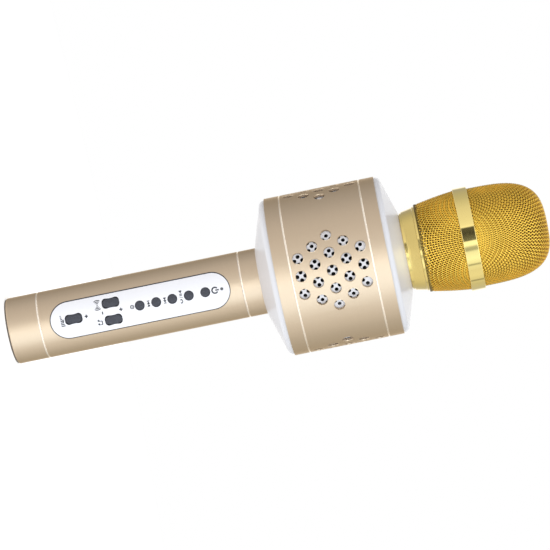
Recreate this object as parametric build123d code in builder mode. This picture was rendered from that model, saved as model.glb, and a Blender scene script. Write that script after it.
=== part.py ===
from build123d import *
from math import cos, hypot, pi, radians, sin
import os

# Wireless karaoke microphone: an aluminium handle with its key panel, a speaker drum, and a wire
# basket that screws off.  The origin is the centre of the handle's flat end, +Z runs up the axis
# to the basket and the key panel faces -Y.  All sizes are in millimetres.

# ---- Driving dimensions -------------------------------------------------------------------------

# Heights along the axis
handle_low = 0.8
handle_top = 129.0
sleeve_low = 138.4
sleeve_high = 194.2
shoulder_top = 202.6
collar_low = 203.1
skirt_low = 211.0
band_low = 231.5
band_high = 238.6
total_length = 275.0

# Handle tube, and the obround slot in it that holds the key panel
handle_r = 16.75
handle_wall = 1.35
handle_grooves = (16.7, 120.0)
rim_chamfer = 0.35
slot_length = 92.0
slot_width = 18.9
slot_middle = 68.0

# Key panel and its keys
panel_gap = 0.25
panel_r = 16.6
panel_back = 12.9
panel_frame_back = 11.0
key_gap = 0.2
key_top_r = 17.45
key_flange_front = 12.4
key_flange = 0.6
rocker_length = 8.5
rocker_width = 4.7
rocker_places = {"volume": (0.0, 34.1), "echo": (-4.3, 53.7), "music": (4.3, 53.7)}
button_r = 2.3
button_places = {"mode": 67.9, "previous": 76.3, "next": 84.5, "play": 92.9, "power": 101.3}
led_r = 0.75
led_z = 109.7

# Control board, its chassis and the battery behind it
board_front = 9.0
board_thick = 1.6
board_span = (25.0, 112.0)
board_width = 22.0
board_screws_at = [(x, z) for x in (-9.0, 9.0) for z in (28.5, 108.5)]
tact_side = 3.6
tact_height = 1.5
chassis_wall = 1.6
battery_r = 9.2
battery_span = (37.0, 102.0)
battery_y = 2.7

# Sockets in the handle's end
usb_x = -6.0
usb_y = 0.6
usb_size = (7.5, 2.6)
jack_x = 6.5
jack_y = -0.8
jack_bore_r = 1.8
jack_depth = 14.0

# Speaker drum
sleeve_r = 40.1
sleeve_wall = 1.4
sleeve_grooves = (146.1, 186.6)
shoulder_wall = 1.8
spigot_r = 38.5
spigot_wall = 2.0
spigot_height = 3.2
drum_middle = 166.3
hole_r = 2.75
hole_pitch = 9.0
hole_columns = (3, 4, 5, 4, 3)
column_pitch = 7.8
hole_groups = 4
group_turn = 2.6
screen_r = 38.3
screen_wall = 0.8
window_r = 0.98
window_pitch = 3.9
window_field_r = 19.2
window_field_z = 165.6

# The two loudspeakers, back to back across the drum: distances are from the microphone's axis
speaker_r = 20.0
speaker_face = 30.0
speaker_ear_r = 22.0

# Neck and basket
neck_r = 18.7
neck_top = 213.5
collar_clear = 0.3
mesh_thick = 1.0
skirt_r = (22.0, 25.3)
band_r = 26.1
dome_r = 24.9
dome_squareness = 2.9
foam_thick = 4.0
capsule_r = 12.0

groove_width = 0.9
groove_depth = 0.35
handle_bore = handle_r - handle_wall
sleeve_bore = sleeve_r - sleeve_wall
board_back = board_front - board_thick

os.makedirs("parts", exist_ok=True)


# ---- Shared shapes ------------------------------------------------------------------------------


def ring(inner, outer, low, high):
    """Rectangle in the XZ plane that revolves about Z into a plain ring."""
    with Locations(((inner + outer) / 2, (low + high) / 2)):
        Rectangle(outer - inner, high - low)


def groove(radius, height):
    """V-shaped notch in the XZ plane, cut into a turned surface of this radius."""
    Polygon(
        (radius + 0.1, height - groove_width / 2),
        (radius, height - groove_width / 2),
        (radius - groove_depth, height),
        (radius, height + groove_width / 2),
        (radius + 0.1, height + groove_width / 2),
        align=None,
        mode=Mode.SUBTRACT,
    )


def obround(length, width, height):
    """Obround in the XZ plane with its long side along Z and its centre at this height."""
    with Locations((0, height)):
        SlotOverall(length, width, rotation=90)


def write(builder, name):
    """Labels a finished piece and writes its STEP file."""
    builder.part.label = name
    export_step(builder.part, f"parts/{name}.step")


# ---- Handle tube: anodised aluminium tube with the panel's slot and two bright-cut grooves ------

with BuildPart() as handle_tube:
    with BuildSketch(Plane.XZ):
        ring(handle_bore, handle_r, handle_low, handle_top)
        for groove_height in handle_grooves:
            groove(handle_r, groove_height)
    revolve(axis=Axis.Z)
    chamfer(handle_tube.edges().group_by(Axis.Z)[0].sort_by(SortBy.RADIUS)[-1], rim_chamfer)
    with BuildSketch(Plane.XZ):
        obround(slot_length, slot_width, slot_middle)
    extrude(amount=handle_r + 1, mode=Mode.SUBTRACT)
write(handle_tube, "handle_tube")


# ---- End cap: moulded plug with rails for the port board and openings for the two sockets -------

cap_r = 16.35
cap_floor = 2.0
plug_r = handle_bore - 0.05
plug_wall = 1.5
plug_top = 10.0
port_board_half = 12.0
port_board_y = (2.0, 3.6)
port_board_middle = sum(port_board_y) / 2
port_board_top = 21.0
rail_size = (3.0, 4.4)
jack_opening_r = 3.0

with BuildPart() as end_cap:
    with BuildSketch(Plane.XZ):
        with BuildLine():
            Polyline(
                (0, 0),
                (cap_r - rim_chamfer, 0),
                (cap_r, rim_chamfer),
                (cap_r, handle_low),
                (plug_r, handle_low),
                (plug_r, plug_top),
                (plug_r - plug_wall, plug_top),
                (plug_r - plug_wall, cap_floor),
                (0, cap_floor),
                close=True,
            )
        make_face()
    revolve(axis=Axis.Z)
    with BuildSketch(Plane.XY.offset(cap_floor)):
        with Locations((-port_board_half, port_board_middle), (port_board_half, port_board_middle)):
            Rectangle(*rail_size)
        with Locations((0, port_board_middle)):
            Rectangle(2 * port_board_half + 0.2, board_thick + 0.1, mode=Mode.SUBTRACT)
    extrude(amount=plug_top - cap_floor)
    with BuildSketch(Plane.XY):
        with Locations((usb_x, usb_y)):
            RectangleRounded(usb_size[0] + 0.6, usb_size[1] + 0.6, 0.9)
        with Locations((jack_x, jack_y)):
            Circle(jack_opening_r)
    extrude(amount=cap_floor, mode=Mode.SUBTRACT)
write(end_cap, "end_cap")


# ---- Port board with its charging socket and its headphone jack ---------------------------------

with BuildPart() as port_board:
    with BuildSketch(Plane.XZ.offset(-port_board_y[0])):
        ring(-port_board_half, port_board_half, cap_floor + 0.05, port_board_top)
    extrude(amount=-board_thick)
write(port_board, "port_board")

with BuildPart() as usb_socket:
    with BuildSketch(Plane.XY.offset(0.2)):
        with Locations((usb_x, usb_y + 0.05)):
            RectangleRounded(*usb_size, 0.7)
            RectangleRounded(usb_size[0] - 0.7, usb_size[1] - 0.7, 0.5, mode=Mode.SUBTRACT)
    extrude(amount=5.6)
    with BuildSketch(Plane.XY.offset(4.8)):
        with Locations((usb_x, usb_y + 0.05)):
            RectangleRounded(*usb_size, 0.7)
    extrude(amount=1.0)
    with BuildSketch(Plane.XY.offset(1.2)):
        with Locations((usb_x, usb_y - 0.1)):
            Rectangle(3.6, 0.6)
    extrude(amount=4.0)
write(usb_socket, "usb_socket")

jack_nose_r = 2.8
jack_half_width = 3.3
with BuildPart() as audio_jack:
    with BuildSketch(Plane.XY):
        with Locations((jack_x, jack_y)):
            Circle(jack_nose_r)
    extrude(amount=cap_floor)
    with BuildSketch(Plane.XY.offset(cap_floor)):
        with Locations((jack_x, jack_y)):
            Rectangle(2 * jack_half_width, 2 * (port_board_y[0] - jack_y))
    extrude(amount=jack_depth - cap_floor + 1.2)
    with BuildSketch(Plane.XY):
        with Locations((jack_x, jack_y)):
            Circle(jack_bore_r)
    extrude(amount=jack_depth, mode=Mode.SUBTRACT)
write(audio_jack, "audio_jack")


# ---- Inner chassis: half-round tray that carries the control board in front and the battery -----

chassis_r = handle_bore - 0.1
chassis_span = (board_span[0] - 1, board_span[1] + 1)
bulkhead_thick = 1.5
bulkheads = (
    chassis_span[0],
    battery_span[0] - 2,
    battery_span[1] + 0.5,
    chassis_span[1] - bulkhead_thick,
)
wire_window = (9, 12)
boss_r = 2.2
boss_end = 10.3
pilot_r = 1.05
pilot_depth = 6.0

with BuildPart() as inner_chassis:
    with BuildSketch(Plane.XY.offset(chassis_span[0])):
        Circle(chassis_r)
        Circle(chassis_r - chassis_wall, mode=Mode.SUBTRACT)
    extrude(amount=chassis_span[1] - chassis_span[0])
    for bulkhead_low in bulkheads:
        with BuildSketch(Plane.XY.offset(bulkhead_low)):
            Circle(chassis_r - 0.5)
            Rectangle(*wire_window, mode=Mode.SUBTRACT)
        extrude(amount=bulkhead_thick)
    with BuildSketch(Plane.XZ.offset(board_back)):
        with Locations(*board_screws_at):
            Circle(boss_r)
    extrude(amount=-board_back - boss_end)
    with BuildSketch(Plane.XZ.offset(board_back)):
        ring(-handle_r, handle_r, chassis_span[0] - 1, chassis_span[1] + 1)
    extrude(amount=handle_r, mode=Mode.SUBTRACT)
    with BuildSketch(Plane.XZ.offset(board_back)):
        with Locations(*board_screws_at):
            Circle(pilot_r)
    extrude(amount=-pilot_depth, mode=Mode.SUBTRACT)
write(inner_chassis, "inner_chassis")

with BuildPart() as battery_cell:
    with BuildSketch(Plane.XY.offset(battery_span[0])):
        with Locations((0, battery_y)):
            Circle(battery_r)
    extrude(amount=battery_span[1] - battery_span[0] - 1.6)
    fillet(battery_cell.edges(), 0.8)
    with BuildSketch(Plane.XY.offset(battery_span[1] - 1.6)):
        with Locations((0, battery_y)):
            Circle(2.9)
    extrude(amount=1.6)
write(battery_cell, "battery_cell")

with BuildPart() as control_board:
    with BuildSketch(Plane.XZ.offset(board_back)):
        ring(-board_width / 2, board_width / 2, *board_span)
        with Locations(*board_screws_at):
            Circle(1.15, mode=Mode.SUBTRACT)
    extrude(amount=board_thick)
write(control_board, "control_board")

with BuildPart() as board_screws:
    with BuildSketch(Plane.XZ.offset(board_front)):
        with Locations(*board_screws_at):
            Circle(1.9)
    extrude(amount=1.1)
    with BuildSketch(Plane.XZ.offset(board_front)):
        with Locations(*board_screws_at):
            Circle(1.0)
    extrude(amount=-6.5)
write(board_screws, "board_screws")

rocker_press = 2.9
tact_places = [(0, z) for z in button_places.values()]
tact_places += [(x, z + end) for x, z in rocker_places.values() for end in (-rocker_press, rocker_press)]
plunger_height = 2.2

with BuildPart() as tact_switches:
    with BuildSketch(Plane.XZ.offset(board_front)):
        with Locations(*tact_places):
            Rectangle(tact_side, tact_side)
    extrude(amount=tact_height)
    with BuildSketch(Plane.XZ.offset(board_front)):
        with Locations(*tact_places):
            Circle(0.9)
    extrude(amount=plunger_height)
write(tact_switches, "tact_switches")

led_chip_height = 0.8
with BuildPart() as status_led:
    with BuildSketch(Plane.XZ.offset(board_front)):
        with Locations((0, led_z)):
            Rectangle(1.6, 1.0)
    extrude(amount=led_chip_height)
write(status_led, "status_led")


# ---- Key panel: glossy white moulding, flush with the tube, held by a frame behind the slot -----


def rocker_outline(extra):
    """Oblong key outline with a slight waist, grown by extra all round."""
    waist_r = 12.0
    RectangleRounded(rocker_width + 2 * extra, rocker_length + 2 * extra, 1.7 + extra)
    for side in (-1, 1):
        with Locations((side * (rocker_width / 2 + extra + waist_r - 0.22), 0)):
            Circle(waist_r, mode=Mode.SUBTRACT)


def rocker_sketch(place, extra):
    """A rocker's outline, set at its place on the panel."""
    with BuildSketch(Plane.XZ, mode=Mode.PRIVATE) as outline:
        rocker_outline(extra)
    with Locations(place):
        add(outline.sketch_local)


with BuildPart() as panel_frame:
    with BuildSketch(Plane.XZ.offset(panel_frame_back)):
        obround(slot_length + 1.6, slot_width + 1.8, slot_middle)
        obround(slot_length - 2.2, slot_width - 2.0, slot_middle)
        obround(slot_length - 3.0, slot_width - 2.6, slot_middle)
    extrude(amount=handle_r)
    with BuildSketch(Plane.XY):
        Circle(handle_bore - 0.15)
    extrude(amount=handle_top, mode=Mode.INTERSECT)

with BuildPart() as control_panel:
    with BuildSketch(Plane.XZ.offset(panel_frame_back)):
        obround(slot_length - 2 * panel_gap, slot_width - 2 * panel_gap, slot_middle)
    extrude(amount=handle_r)
    with BuildSketch(Plane.XY):
        Circle(panel_r)
    extrude(amount=handle_top, mode=Mode.INTERSECT)
    add(panel_frame.part)
    with BuildSketch(Plane.XZ.offset(panel_frame_back)):
        obround(slot_length - 3.0, slot_width - 2.6, slot_middle)
    extrude(amount=panel_back - panel_frame_back, mode=Mode.SUBTRACT)
    with BuildSketch(Plane.XZ):
        for rocker_place in rocker_places.values():
            rocker_sketch(rocker_place, key_gap)
        with Locations(*[(0, z) for z in button_places.values()]):
            Circle(button_r + key_gap)
        with Locations((0, led_z)):
            Circle(led_r + 0.05)
    extrude(amount=handle_r + 1, mode=Mode.SUBTRACT)
write(control_panel, "control_panel")

with BuildPart() as led_lens:
    with BuildSketch(Plane.XZ.offset(board_front + led_chip_height + 0.1)):
        with Locations((0, led_z)):
            Circle(led_r)
    extrude(amount=panel_r + 0.05 - board_front - led_chip_height - 0.1)
write(led_lens, "led_lens")


# ---- Keys: three rockers that tilt about their middles, and five round push buttons -------------

for rocker_name, rocker_place in rocker_places.items():
    with BuildPart() as rocker:
        with BuildSketch(Plane.XZ.offset(key_flange_front - key_flange)):
            rocker_sketch(rocker_place, 0)
        extrude(amount=handle_r)
        with BuildSketch(Plane.XY):
            Circle(key_top_r)
        extrude(amount=handle_top, mode=Mode.INTERSECT)
        fillet(rocker.faces().sort_by(Axis.Y)[0].edges(), 0.3)
        with BuildSketch(Plane.XZ.offset(key_flange_front - key_flange)):
            rocker_sketch(rocker_place, 0.6)
        extrude(amount=key_flange)
    write(rocker, f"{rocker_name}_rocker")

for button_name, button_z in button_places.items():
    with BuildPart() as button:
        with BuildSketch(Plane.XZ.offset(key_flange_front - key_flange)):
            with Locations((0, button_z)):
                Circle(button_r)
        extrude(amount=key_top_r - key_flange_front + key_flange)
        fillet(button.faces().sort_by(Axis.Y)[0].edges(), 0.6)
        with BuildSketch(Plane.XZ.offset(key_flange_front - key_flange)):
            with Locations((0, button_z)):
                Circle(button_r + 0.7)
        extrude(amount=key_flange)
    write(button, f"{button_name}_button")


# ---- Shoulders: glossy white moulded cones each side of the drum --------------------------------

foot_r = 17.0
lip_r = 39.4
lower_lip = (37.8, 135.5)
neck_foot_r = 20.25
upper_lip = (38.2, 197.0)
neck_bore = 15.5
lower_slope = (lower_lip[1] - handle_top) / (lower_lip[0] - foot_r)
upper_slope = (shoulder_top - upper_lip[1]) / (upper_lip[0] - neck_foot_r)
foot_spigot_r = handle_bore - 0.05
foot_bore = foot_spigot_r - shoulder_wall
spigot_bore = spigot_r - spigot_wall
amplifier_z = 138.6
amplifier_screws_at = [(x, y) for x in (-16.0, 16.0) for y in (-16.0, 16.0)]

with BuildPart() as lower_shoulder:
    with BuildSketch(Plane.XZ):
        with BuildLine():
            Line((foot_r, handle_top), lower_lip)
            ThreePointArc(lower_lip, (38.95, 136.5), (lip_r, sleeve_low))
            Polyline(
                (lip_r, sleeve_low),
                (spigot_r, sleeve_low),
                (spigot_r, sleeve_low + spigot_height),
                (spigot_bore, sleeve_low + spigot_height),
                (spigot_bore, handle_top + lower_slope * (spigot_bore - foot_r) + shoulder_wall),
                (foot_bore, handle_top + lower_slope * (foot_bore - foot_r) + shoulder_wall),
                (foot_bore, handle_top - 10),
                (foot_spigot_r, handle_top - 10),
                (foot_spigot_r, handle_top),
                (foot_r, handle_top),
            )
        make_face()
    revolve(axis=Axis.Z)
    with BuildSketch(Plane.XY.offset(amplifier_z)):
        with Locations(*amplifier_screws_at):
            Circle(2.4)
    extrude(until=Until.NEXT, dir=(0, 0, -1))
    with BuildSketch(Plane.XY.offset(amplifier_z)):
        with Locations(*amplifier_screws_at):
            Circle(1.05)
    extrude(amount=-3.6, mode=Mode.SUBTRACT)
write(lower_shoulder, "lower_shoulder")

with BuildPart() as upper_shoulder:
    with BuildSketch(Plane.XZ):
        with BuildLine():
            Line((neck_foot_r, shoulder_top), upper_lip)
            ThreePointArc(upper_lip, (39.05, 196.2), (lip_r, sleeve_high))
            Polyline(
                (lip_r, sleeve_high),
                (spigot_r, sleeve_high),
                (spigot_r, sleeve_high - spigot_height),
                (spigot_bore, sleeve_high - spigot_height),
                (spigot_bore, shoulder_top - upper_slope * (spigot_bore - neck_foot_r) - shoulder_wall),
                (neck_bore, shoulder_top - upper_slope * (neck_bore - neck_foot_r) - shoulder_wall),
                (neck_bore, shoulder_top + 6),
                (neck_r - 1.6, shoulder_top + 6),
                (neck_r - 1.6, shoulder_top),
                (neck_foot_r, shoulder_top),
            )
        make_face()
    revolve(axis=Axis.Z)
write(upper_shoulder, "upper_shoulder")


# ---- Drum sleeve: anodised tube with four groups of drilled holes, each a hexagon of columns ----


def group_bearing(group):
    """Bearing of a hole group's middle about the axis, in degrees from +X; the first is near -Y."""
    return group * 360 / hole_groups - 90 + group_turn


with BuildPart() as drum_sleeve:
    with BuildSketch(Plane.XZ):
        ring(sleeve_bore, sleeve_r, sleeve_low, sleeve_high)
        for groove_height in sleeve_grooves:
            groove(sleeve_r, groove_height)
    revolve(axis=Axis.Z)
    hole_step = hole_pitch / sleeve_r * 180 / pi
    for group in range(hole_groups):
        for column, count in enumerate(hole_columns):
            hole_height = drum_middle + (column - (len(hole_columns) - 1) / 2) * column_pitch
            for row in range(count):
                turn = radians(group_bearing(group) + (row - (count - 1) / 2) * hole_step)
                outward = (cos(turn), sin(turn), 0)
                with BuildSketch(Plane(origin=(0, 0, hole_height), x_dir=(0, 0, 1), z_dir=outward)):
                    Circle(hole_r)
                extrude(amount=sleeve_r + 1, mode=Mode.SUBTRACT)
write(drum_sleeve, "drum_sleeve")

# The screen behind the holes is a lattice: staggered round windows fill a disc behind each group.
# Their places are counted in half pitches, up the axis and round the drum.
window_half_pitch = window_pitch / 2
window_count = round(2 * window_field_r / window_half_pitch)
window_places = []
for group in range(hole_groups):
    for up in range(-window_count, window_count + 1):
        for along in range(-window_count, window_count + 1):
            height = drum_middle + up * window_half_pitch
            arc = along * window_half_pitch
            if (up + along) % 2 == 1 and hypot(height - window_field_z, arc) < window_field_r:
                bearing = group_bearing(group) + arc / screen_r * 180 / pi
                window_places.append(Location((0, 0, height), (0, 0, bearing)))

with BuildPart() as grille_screen:
    with BuildSketch(Plane.XZ):
        ring(screen_r - screen_wall, screen_r, sleeve_low + spigot_height, sleeve_high - spigot_height)
    revolve(axis=Axis.Z)
    with Locations(*window_places):
        with Locations((screen_r, 0, 0)):
            Cylinder(window_r, 4 * screen_wall, rotation=(0, 90, 0), mode=Mode.SUBTRACT)
write(grille_screen, "grille_screen")


# ---- Speaker housing: chamber clamped between the shoulders, a loudspeaker in each face ---------

housing_r = screen_r - screen_wall - 0.2
housing_low = sleeve_low + spigot_height
housing_high = sleeve_high - spigot_height
housing_width = 50.0
housing_wall = 2.0
driver_hole_r = 18.6
ears = [(side * speaker_ear_r * cos(pi / 4), drum_middle + up * speaker_ear_r * sin(pi / 4))
        for side in (-1, 1) for up in (-1, 1)]

with BuildPart() as speaker_housing:
    with BuildSketch(Plane.XY.offset(housing_low)):
        Circle(housing_r)
        Rectangle(housing_width, 2 * speaker_face, mode=Mode.INTERSECT)
    extrude(amount=housing_high - housing_low)
    with BuildSketch(Plane.XY.offset(housing_low + housing_wall)):
        Circle(housing_r - housing_wall)
        Rectangle(housing_width - 2 * housing_wall, 2 * (speaker_face - housing_wall), mode=Mode.INTERSECT)
    extrude(amount=housing_high, mode=Mode.SUBTRACT)
    for flange_low in (housing_low, housing_high - housing_wall):
        with BuildSketch(Plane.XY.offset(flange_low)):
            Circle(housing_r)
            Circle(24.0, mode=Mode.SUBTRACT)
        extrude(amount=housing_wall)
    with BuildSketch(Plane.XZ):
        with Locations((0, drum_middle)):
            Circle(driver_hole_r)
        with Locations(*ears):
            Circle(1.2)
    extrude(amount=housing_r, both=True, mode=Mode.SUBTRACT)
    with BuildSketch(Plane.XY.offset(housing_low)):
        Circle(5)
    extrude(amount=housing_wall, mode=Mode.SUBTRACT)
write(speaker_housing, "speaker_housing")

with BuildPart() as amplifier_board:
    with BuildSketch(Plane.XY.offset(amplifier_z)):
        Circle(26.0)
        with Locations(*amplifier_screws_at):
            Circle(1.2, mode=Mode.SUBTRACT)
    extrude(amount=board_thick)
write(amplifier_board, "amplifier_board")

with BuildPart() as amplifier_screws:
    with BuildSketch(Plane.XY.offset(amplifier_z + board_thick)):
        with Locations(*amplifier_screws_at):
            Circle(1.9)
    extrude(amount=1.1)
    with BuildSketch(Plane.XY.offset(amplifier_z + board_thick)):
        with Locations(*amplifier_screws_at):
            Circle(1.0)
    extrude(amount=-4.5)
write(amplifier_screws, "amplifier_screws")


# ---- Loudspeakers: steel frame, magnet system and a moving cone with its coil in the gap --------

speaker_axis = Axis((0, 0, drum_middle), (0, 1, 0))
frame_flange = 1.2
magnet_r = 11.5
plate_face = 18.0
yoke_face = 11.2
ferrite_low = 12.6
ferrite_top = 16.4
ferrite_bore = 7.0
plate_r = magnet_r - 0.5
pole_r = 4.7
gap_r = 5.8
coil_r = (5.0, 5.4)


def speaker_turned(side, points):
    """Piece of revolution about the loudspeakers' axis, from (distance, radius) corner points."""
    with BuildSketch(Plane.YZ) as profile:
        Polygon(*[(side * out, drum_middle + radius) for out, radius in points], align=None)
    revolve(profile.sketch, axis=speaker_axis)


for speaker_name, side in (("front", -1), ("back", 1)):
    face = Plane(origin=(0, side * speaker_face, drum_middle), x_dir=(1, 0, 0), z_dir=(0, side, 0))

    with BuildPart() as speaker_frame:
        speaker_turned(
            side,
            [
                (speaker_face + frame_flange, speaker_r),
                (speaker_face, speaker_r),
                (speaker_face, 18.3),
                (plate_face, 12.6),
                (plate_face, 7.0),
                (plate_face + 0.8, 7.0),
                (plate_face + 0.8, 12.1),
                (speaker_face - 1.0, 17.6),
                (speaker_face + frame_flange, 17.6),
            ],
        )
        with BuildSketch(face):
            with PolarLocations(speaker_ear_r, 4, start_angle=45):
                Circle(2.6)
            Circle(speaker_r - 1.0, mode=Mode.SUBTRACT)
            with PolarLocations(speaker_ear_r, 4, start_angle=45):
                Circle(1.2, mode=Mode.SUBTRACT)
        extrude(amount=frame_flange)
        with BuildSketch(face.offset(plate_face + 2.0 - speaker_face)):
            with PolarLocations(15.5, 4):
                RectangleRounded(8.0, 9.0, 1.5)
        extrude(amount=speaker_face - plate_face - 4.0, mode=Mode.SUBTRACT)
    write(speaker_frame, f"{speaker_name}_speaker_frame")

    with BuildPart() as magnet:
        speaker_turned(
            side,
            [
                (yoke_face, 0),
                (yoke_face, plate_r),
                (ferrite_low, plate_r),
                (ferrite_low, pole_r),
                (plate_face, pole_r),
                (plate_face, 0),
            ],
        )
        speaker_turned(
            side,
            [
                (ferrite_low, ferrite_bore),
                (ferrite_low, magnet_r),
                (ferrite_top, magnet_r),
                (ferrite_top, ferrite_bore),
            ],
        )
        speaker_turned(
            side,
            [(ferrite_top, gap_r), (ferrite_top, plate_r), (plate_face, plate_r), (plate_face, gap_r)],
        )
    write(magnet, f"{speaker_name}_magnet")

    with BuildPart() as cone:
        speaker_turned(
            side,
            [
                (14.0, coil_r[0]),
                (14.0, coil_r[1]),
                (21.0, coil_r[1]),
                (28.0, 14.4),
                (28.0, 15.2),
                (29.0, 15.9),
                (28.6, 17.0),
                (29.0, 17.1),
                (29.5, 15.9),
                (28.5, 14.9),
                (28.5, 14.2),
                (21.8, 5.4),
                (23.0, 3.0),
                (23.4, 0),
                (22.9, 0),
                (22.5, 2.9),
                (20.6, coil_r[0]),
            ],
        )
    write(cone, f"{speaker_name}_cone")

with BuildPart() as speaker_screws:
    for side in (-1, 1):
        head_seat = Plane.XZ.offset(-side * (speaker_face + frame_flange))
        with BuildSketch(head_seat):
            with Locations(*ears):
                Circle(2.1)
        extrude(amount=-side * 1.3)
        with BuildSketch(head_seat):
            with Locations(*ears):
                Circle(1.1)
        extrude(amount=side * 5.0)
write(speaker_screws, "speaker_screws")


# ---- Neck: threaded ring on the shoulder's stub, rubber mount and capsule -----------------------

mount_r = 14.9
with BuildPart() as neck_ring:
    with BuildSketch(Plane.XZ):
        ring(neck_r - 1.5, neck_r, shoulder_top + 0.05, neck_top)
        ring(mount_r + 0.3, neck_r - 0.5, shoulder_top + 6.05, neck_top)
    revolve(axis=Axis.Z)
write(neck_ring, "neck_ring")

mount_low = 205.0
mount_top = 224.0
mount_floor = 2.0
with BuildPart() as capsule_mount:
    with BuildSketch(Plane.XZ):
        ring(capsule_r + 0.1, mount_r, mount_low, mount_top)
        ring(capsule_r - 3, mount_r, mount_low, mount_low + mount_floor)
        ring(mount_r - 1, 16.3, neck_top, neck_top + 1.2)
        ring(mount_r - 1, mount_r + 0.6, mount_top - 3, mount_top - 1.5)
    revolve(axis=Axis.Z)
write(capsule_mount, "capsule_mount")

capsule_top = 232.0
sound_hole_r = 1.2
sound_hole_depth = 2.5
sound_hole_rings = {4.4: 6, 8.4: 12}
with BuildPart() as capsule:
    with BuildSketch(Plane.XZ):
        ring(0, capsule_r, mount_low + mount_floor, capsule_top)
        ring(capsule_r - 1.2, capsule_r + 0.4, mount_top + 0.2, capsule_top - 1)
    revolve(axis=Axis.Z)
    with BuildSketch(Plane.XY.offset(capsule_top)):
        Circle(sound_hole_r)
        for ring_r, count in sound_hole_rings.items():
            with PolarLocations(ring_r, count):
                Circle(sound_hole_r)
    extrude(amount=-sound_hole_depth, mode=Mode.SUBTRACT)
write(capsule, "capsule")


# ---- Basket: base ring, tapered lower mesh, band, dome of mesh, and the foam inside -------------

skirt_top = band_low + 2.3
dome_low = band_high - 2.3
rim_r = 21.2

with BuildPart() as basket_collar:
    with BuildSketch(Plane.XZ):
        with BuildLine():
            Polyline(
                (neck_r + collar_clear, collar_low),
                (19.4, collar_low),
                (19.4, collar_low + 1.1),
                (19.9, collar_low + 1.1),
                (rim_r - 0.2, skirt_low - 1.4),
                (rim_r + 0.2, skirt_low - 1.0),
                (rim_r + 0.2, skirt_low),
                (rim_r - 0.9, skirt_low),
                (rim_r - 0.9, skirt_low + 2.6),
                (rim_r - 1.5, skirt_low + 2.6),
                (neck_r + collar_clear, skirt_low + 0.6),
                close=True,
            )
        make_face()
    revolve(axis=Axis.Z)
write(basket_collar, "basket_collar")


def skirt_wall(inset):
    """Slightly barrelled line up the lower mesh, at this inset from its outside."""
    low, high = skirt_r
    return [(low - inset, skirt_low + 0.1), ((low + high) / 2 + 0.35 - inset, (skirt_low + skirt_top) / 2),
            (high + 0.1 - inset, skirt_top)]


with BuildPart() as basket_skirt:
    with BuildSketch(Plane.XZ):
        with BuildLine():
            outside = ThreePointArc(*skirt_wall(0))
            inside = ThreePointArc(*skirt_wall(mesh_thick))
            Line(outside @ 0, inside @ 0)
            Line(outside @ 1, inside @ 1)
        make_face()
    revolve(axis=Axis.Z)
write(basket_skirt, "basket_skirt")

band_wall = 0.65
with BuildPart() as basket_band:
    with BuildSketch(Plane.XZ):
        ring(band_r - band_wall, band_r, band_low, band_high)
        ring(23.4, band_r - 0.3, skirt_top + 0.1, dome_low - 0.1)
    revolve(axis=Axis.Z)
    rims = basket_band.edges().filter_by(GeomType.CIRCLE).filter_by(lambda rim: rim.radius > band_r - 0.01)
    fillet(rims, 0.3)
write(basket_band, "basket_band")


def dome_curve(inset):
    """Superellipse points from the dome's widest ring to its crown, at this inset from its outside."""
    power = 2 / dome_squareness
    height = total_length - band_high
    angles = [radians(angle) for angle in (0, 12, 30, 48, 66, 80, 90)]
    return [((dome_r - inset) * abs(cos(angle)) ** power, band_high + (height - inset) * sin(angle) ** power)
            for angle in angles]


with BuildPart() as basket_dome:
    with BuildSketch(Plane.XZ):
        with BuildLine():
            outside = Spline(dome_curve(0), tangents=[(0, 1), (-1, 0)])
            inside = Spline(dome_curve(mesh_thick), tangents=[(0, 1), (-1, 0)])
            Line(outside @ 1, inside @ 1)
            Polyline(outside @ 0, (dome_r, dome_low), (dome_r - mesh_thick, dome_low), inside @ 0)
        make_face()
    revolve(axis=Axis.Z)
write(basket_dome, "basket_dome")

foam_low = neck_top + 1.6
foam_r = 21.1
with BuildPart() as foam_windscreen:
    with BuildSketch(Plane.XZ):
        with BuildLine():
            Polyline(
                (foam_r - foam_thick, foam_low),
                (foam_r - 0.4, foam_low),
                (23.0, band_low),
                (22.8, 250.0),
                (20.6, 261.0),
                (14.6, 269.0),
                (0, 273.2),
                (0, 273.2 - foam_thick),
                (12.6, 265.6),
                (17.0, 259.5),
                (18.8, 249.5),
                (19.0, band_low),
                close=True,
            )
        make_face()
    revolve(axis=Axis.Z)
write(foam_windscreen, "foam_windscreen")
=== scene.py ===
import bmesh
import bpy
import numpy as np
from mathutils import Matrix, Vector


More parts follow.
